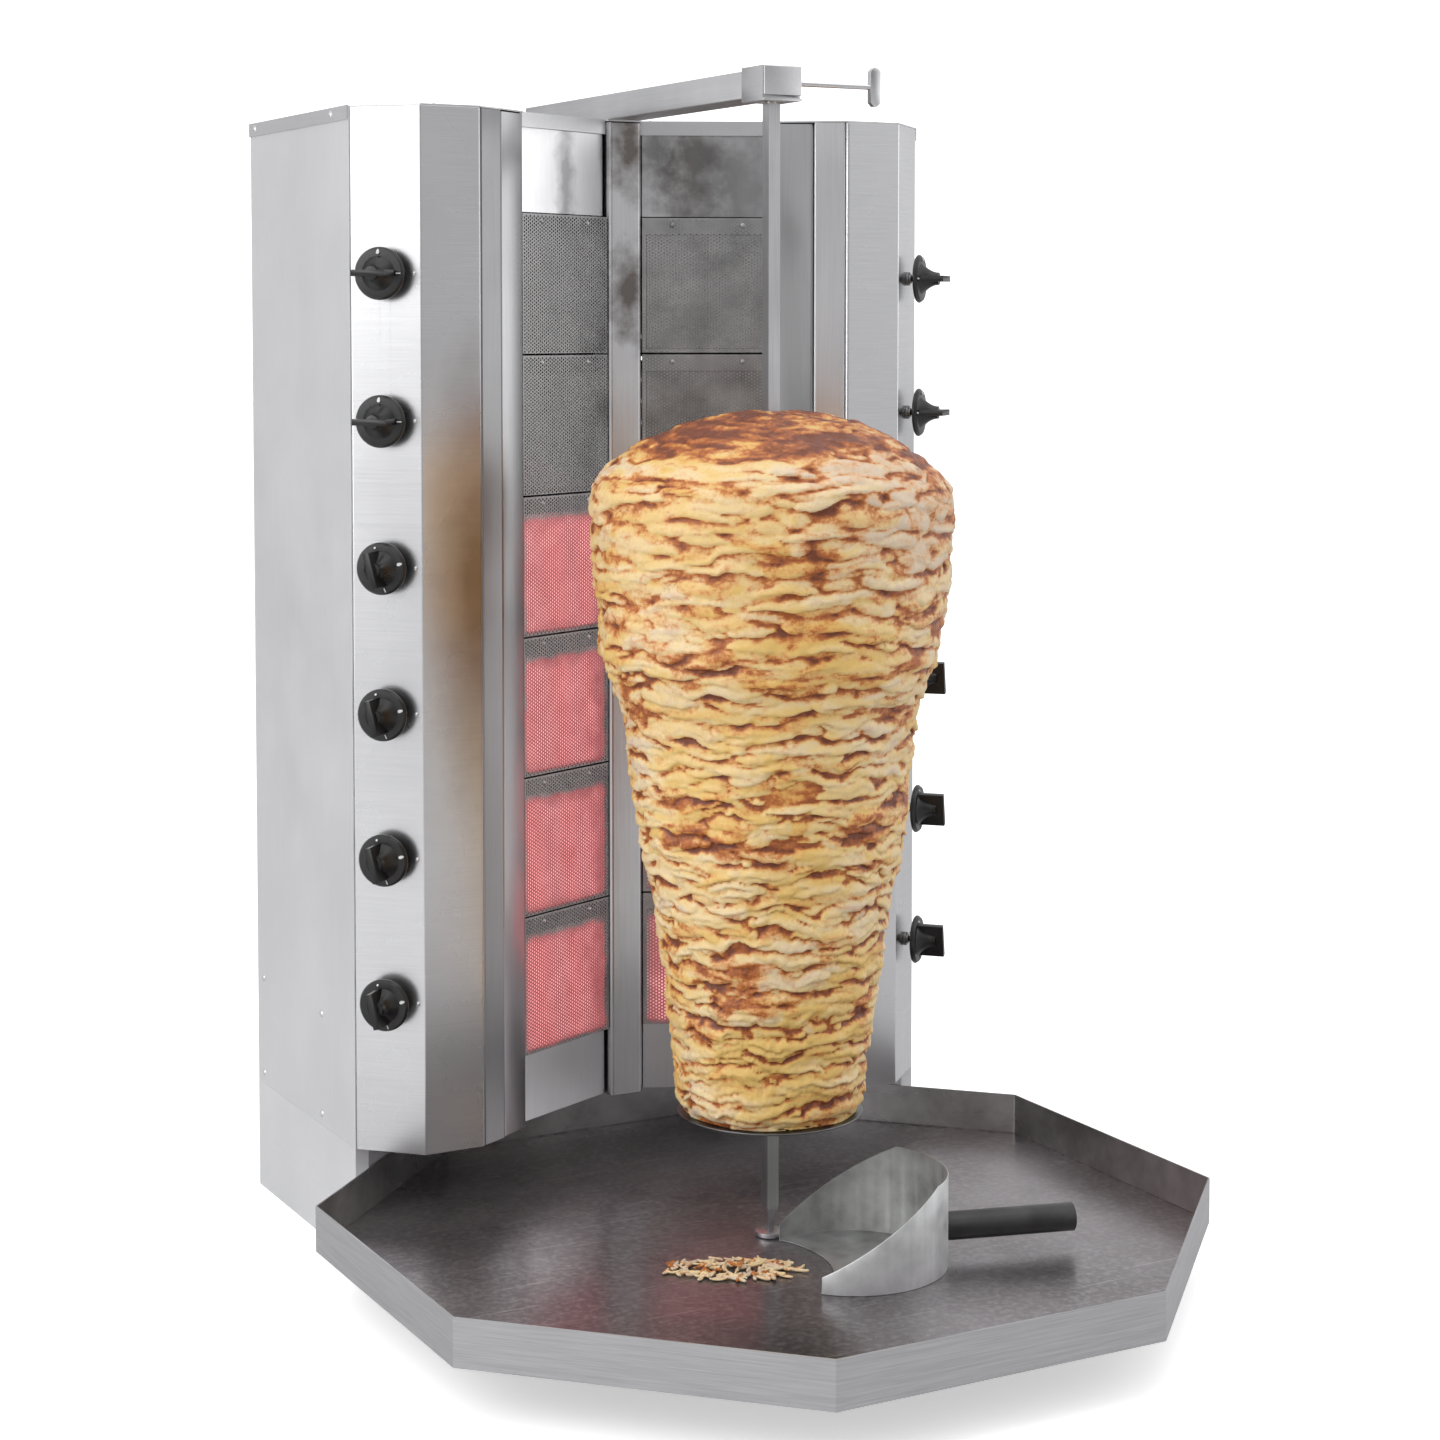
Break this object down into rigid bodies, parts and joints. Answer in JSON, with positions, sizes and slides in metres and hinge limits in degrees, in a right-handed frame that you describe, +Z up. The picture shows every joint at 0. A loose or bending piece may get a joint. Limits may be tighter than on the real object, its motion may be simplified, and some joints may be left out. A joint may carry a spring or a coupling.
{
  "type": "vertical rotisserie broiler",
  "caption": "Gas vertical broiler with two infrared burner columns, a turning spit carrying a cone of stacked meat, and an octagonal drip tray with a scoop.",
  "frame": {"origin": "middle of the machine's footprint on the counter, at the height of the plinth's underside", "axes": "+Z up, -Y towards the user (the machine's front), +X to the user's right"},
  "size_m": [0.7828, 0.9444, 1.147],
  "materials": {
    "plinth_steel": "fine brushed, matte",
    "zinc_plate": "plain galvanised sheet",
    "rubber": "matte",
    "tray_steel": "greasy dark steel with fine scratches, brushed outside",
    "side_steel": "matte satin",
    "front_steel": "fine horizontal brushing, bright",
    "trim_steel": "brushed, brown heat stain at the top",
    "lid_steel": "satin",
    "heat_stained_steel": "brushed and mottled by heat",
    "screen_mesh": "fine perforated sheet",
    "ceramic": "drilled plaque, the lit ones glow coral red",
    "gas_pipe": "plain steel tube",
    "brass": "machined",
    "arm_steel": "satin tube",
    "fastener_steel": "plain bright",
    "motor_grey": "cast housing, matte grey paint",
    "gland_black": "matte",
    "spit_steel": "scratched drawn bar",
    "plate_steel": "dark, heat stained, bright rim",
    "roast_meat": "stacked thin slices with browned edges",
    "scoop_sheet": "mottled matte galvanised sheet",
    "black_plastic": "satin moulded plastic"
  },
  "bodies": {
    "cabinet": {"base_plinth": "plinth_steel", "drive_housing": "zinc_plate", "rubber_feet": "rubber", "tray": "tray_steel", "left_side_panel": "side_steel", "right_side_panel": "side_steel", "back_panel": "side_steel", "left_front_panel": "front_steel", "right_front_panel": "front_steel", "left_reveal_strip": "trim_steel", "right_reveal_strip": "trim_steel", "left_trim_channel": "trim_steel", "right_trim_channel": "trim_steel", "center_post": "trim_steel", "lid": "lid_steel", "bottom_plate": "zinc_plate", "left_burner_panel": "heat_stained_steel", "right_burner_panel": "heat_stained_steel", "left_burner_frames": "heat_stained_steel", "right_burner_frames": "heat_stained_steel", "left_mesh_screens": "screen_mesh", "right_mesh_screens": "screen_mesh", "left_ceramic_plaques": "ceramic", "right_ceramic_plaques": "ceramic", "left_burner_boxes": "zinc_plate", "right_burner_boxes": "zinc_plate", "left_gas_manifold": "gas_pipe", "right_gas_manifold": "gas_pipe", "gas_valves": "brass", "gas_inlet": "brass", "support_arm": "arm_steel", "arm_end_block": "arm_steel", "arm_end_cap": "arm_steel", "spit_bush": "brass", "arm_bolts": "fastener_steel", "dome_screws": "fastener_steel", "index_pins": "fastener_steel", "burner_rivets": "fastener_steel", "gearmotor": "motor_grey", "cable_gland": "gland_black", "meat_trimmings": "roast_meat"},
    "spit": {"spit_rod": "spit_steel", "meat_plate": "plate_steel", "meat_cone": "roast_meat", "drive_socket": "spit_steel"},
    "pin": {"lock_pin": "fastener_steel"},
    "scoop": {"scoop_pan": "scoop_sheet", "scoop_handle": "black_plastic"},
    "left_knob_1": {"left_knob_1": "black_plastic"},
    "left_knob_2": {"left_knob_2": "black_plastic"},
    "left_knob_3": {"left_knob_3": "black_plastic"},
    "left_knob_4": {"left_knob_4": "black_plastic"},
    "left_knob_5": {"left_knob_5": "black_plastic"},
    "left_knob_6": {"left_knob_6": "black_plastic"},
    "right_knob_1": {"right_knob_1": "black_plastic"},
    "right_knob_2": {"right_knob_2": "black_plastic"},
    "right_knob_3": {"right_knob_3": "black_plastic"},
    "right_knob_4": {"right_knob_4": "black_plastic"},
    "right_knob_5": {"right_knob_5": "black_plastic"},
    "right_knob_6": {"right_knob_6": "black_plastic"}
  },
  "joints": [
    {"name": "spit_spin", "type": "hinge", "parent": "cabinet", "child": "spit", "pos_m": [0, -0.0808, 0.6], "axis": [0, 0, 1], "continuous": true},
    {"name": "lock_pin_pull", "type": "slide", "parent": "cabinet", "child": "pin", "axis": [1, 0, 0], "range_m": [0, 0.03]},
    {"name": "scoop_lift", "type": "slide", "parent": "cabinet", "child": "scoop", "axis": [0.9299, -0.25, 0.27], "range_m": [0, 0.45]},
    {"name": "left_knob_1_turn", "type": "hinge", "parent": "cabinet", "child": "left_knob_1", "pos_m": [-0.2914, 0.1449, 0.955], "axis": [-0.696, -0.718, 0], "range_deg": [-180, 0]},
    {"name": "left_knob_2_turn", "type": "hinge", "parent": "cabinet", "child": "left_knob_2", "pos_m": [-0.2914, 0.1449, 0.81567], "axis": [-0.696, -0.718, 0], "range_deg": [-180, 0]},
    {"name": "left_knob_3_turn", "type": "hinge", "parent": "cabinet", "child": "left_knob_3", "pos_m": [-0.2914, 0.1449, 0.67633], "axis": [-0.696, -0.718, 0], "range_deg": [-104, 76]},
    {"name": "left_knob_4_turn", "type": "hinge", "parent": "cabinet", "child": "left_knob_4", "pos_m": [-0.2914, 0.1449, 0.537], "axis": [-0.696, -0.718, 0], "range_deg": [-104, 76]},
    {"name": "left_knob_5_turn", "type": "hinge", "parent": "cabinet", "child": "left_knob_5", "pos_m": [-0.2914, 0.1449, 0.39767], "axis": [-0.696, -0.718, 0], "range_deg": [-104, 76]},
    {"name": "left_knob_6_turn", "type": "hinge", "parent": "cabinet", "child": "left_knob_6", "pos_m": [-0.2914, 0.1449, 0.25833], "axis": [-0.696, -0.718, 0], "range_deg": [-104, 76]},
    {"name": "right_knob_1_turn", "type": "hinge", "parent": "cabinet", "child": "right_knob_1", "pos_m": [0.2914, 0.1449, 0.955], "axis": [0.696, -0.718, 0], "range_deg": [-180, 0]},
    {"name": "right_knob_2_turn", "type": "hinge", "parent": "cabinet", "child": "right_knob_2", "pos_m": [0.2914, 0.1449, 0.81567], "axis": [0.696, -0.718, 0], "range_deg": [-180, 0]},
    {"name": "right_knob_3_turn", "type": "hinge", "parent": "cabinet", "child": "right_knob_3", "pos_m": [0.2914, 0.1449, 0.67633], "axis": [0.696, -0.718, 0], "range_deg": [-104, 76]},
    {"name": "right_knob_4_turn", "type": "hinge", "parent": "cabinet", "child": "right_knob_4", "pos_m": [0.2914, 0.1449, 0.537], "axis": [0.696, -0.718, 0], "range_deg": [-104, 76]},
    {"name": "right_knob_5_turn", "type": "hinge", "parent": "cabinet", "child": "right_knob_5", "pos_m": [0.2914, 0.1449, 0.39767], "axis": [0.696, -0.718, 0], "range_deg": [-104, 76]},
    {"name": "right_knob_6_turn", "type": "hinge", "parent": "cabinet", "child": "right_knob_6", "pos_m": [0.2914, 0.1449, 0.25833], "axis": [0.696, -0.718, 0], "range_deg": [-104, 76]}
  ]
}
